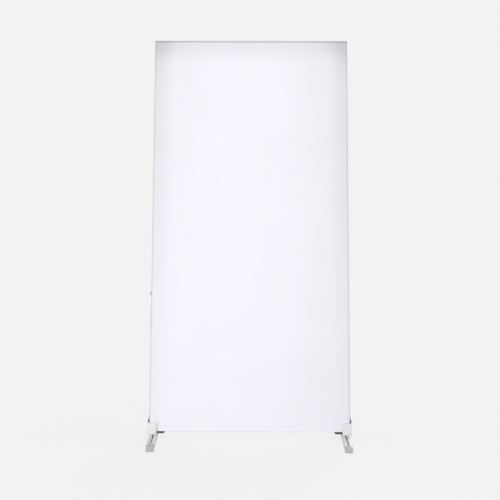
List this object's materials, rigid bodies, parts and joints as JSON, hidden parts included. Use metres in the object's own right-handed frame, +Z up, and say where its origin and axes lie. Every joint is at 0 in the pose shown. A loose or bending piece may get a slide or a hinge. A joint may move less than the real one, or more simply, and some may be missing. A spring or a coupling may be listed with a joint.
{
  "type": "partition wall",
  "caption": "Free-standing partition wall: white stretch cover zipped over a tube frame, in corner shoes on slotted feet that swivel and slide.",
  "frame": {"origin": "on the floor, under the middle of the wall", "axes": "+Z up, X along the wall, -Y is the front"},
  "size_m": [1.0392, 0.4506, 2.036],
  "materials": {
    "cover_fabric": "matte stretch knit",
    "zip_tape": "matte woven",
    "zip_teeth": "satin",
    "zip_metal": "dark nickel",
    "pull_ribbon": "woven",
    "frame_tube": "mill",
    "connector": "moulded",
    "screw": "zinc",
    "bracket": "zinc",
    "shoe": "fine moulded texture",
    "cheek": "satin moulded",
    "foot_bar": "satin anodised",
    "foot_cap": "fine moulded texture",
    "slot_nut": "zinc",
    "washer": "nylon",
    "pad": "matte"
  },
  "bodies": {
    "wall": {"front_cover": "cover_fabric", "rear_cover": "cover_fabric", "top_gusset": "cover_fabric", "bottom_gusset": "cover_fabric", "left_gusset": "cover_fabric", "right_gusset": "cover_fabric", "zip_front_tape": "zip_tape", "zip_rear_tape": "zip_tape", "zip_front_teeth": "zip_teeth", "zip_rear_teeth": "zip_teeth", "zip_top_stop": "zip_teeth", "zip_bottom_stop": "zip_teeth", "top_rail": "frame_tube", "mid_rail": "frame_tube", "bottom_rail": "frame_tube", "frame_screws": "screw", "left_lower_upright": "frame_tube", "left_upper_upright": "frame_tube", "left_upright_joiner": "frame_tube", "left_mid_bracket": "bracket", "top_left_corner_connector": "connector", "bottom_left_corner_connector": "connector", "left_corner_shoe": "shoe", "left_front_cheek": "cheek", "left_rear_cheek": "cheek", "left_cheek_screws": "screw", "right_lower_upright": "frame_tube", "right_upper_upright": "frame_tube", "right_upright_joiner": "frame_tube", "right_mid_bracket": "bracket", "top_right_corner_connector": "connector", "bottom_right_corner_connector": "connector", "right_corner_shoe": "shoe", "right_front_cheek": "cheek", "right_rear_cheek": "cheek", "right_cheek_screws": "screw"},
    "left_pivot": {"left_pivot_screw": "screw", "left_swivel_washer": "washer", "left_slot_nut": "slot_nut"},
    "left_foot": {"left_foot_bar": "foot_bar", "left_foot_front_cap": "foot_cap", "left_foot_rear_cap": "foot_cap", "left_foot_pads": "pad"},
    "right_pivot": {"right_pivot_screw": "screw", "right_swivel_washer": "washer", "right_slot_nut": "slot_nut"},
    "right_foot": {"right_foot_bar": "foot_bar", "right_foot_front_cap": "foot_cap", "right_foot_rear_cap": "foot_cap", "right_foot_pads": "pad"},
    "zip_slider": {"zip_slider": "zip_metal"},
    "zip_pull": {"zip_pull_link": "zip_metal", "zip_pull_ribbon": "pull_ribbon"}
  },
  "joints": [
    {"name": "left_foot_swivel", "type": "hinge", "parent": "wall", "child": "left_pivot", "pos_m": [-0.479, 0, 0.026], "axis": [0, 0, 1], "range_deg": [-96, 84]},
    {"name": "left_foot_slide", "type": "slide", "parent": "left_pivot", "child": "left_foot", "axis": [0.1045, -0.9945, 0], "range_m": [-0.17, 0.17]},
    {"name": "right_foot_swivel", "type": "hinge", "parent": "wall", "child": "right_pivot", "pos_m": [0.479, 0, 0.026], "axis": [0, 0, 1], "range_deg": [-84, 96]},
    {"name": "right_foot_slide", "type": "slide", "parent": "right_pivot", "child": "right_foot", "axis": [-0.1045, -0.9945, 0], "range_m": [-0.17, 0.17]},
    {"name": "zip_travel", "type": "slide", "parent": "wall", "child": "zip_slider", "axis": [0, 0, 1], "range_m": [-0.54, 0]},
    {"name": "zip_pull_swing", "type": "hinge", "parent": "zip_slider", "child": "zip_pull", "pos_m": [-0.5067, 0, 0.723], "axis": [0, 1, 0], "range_deg": [0, 150]}
  ]
}
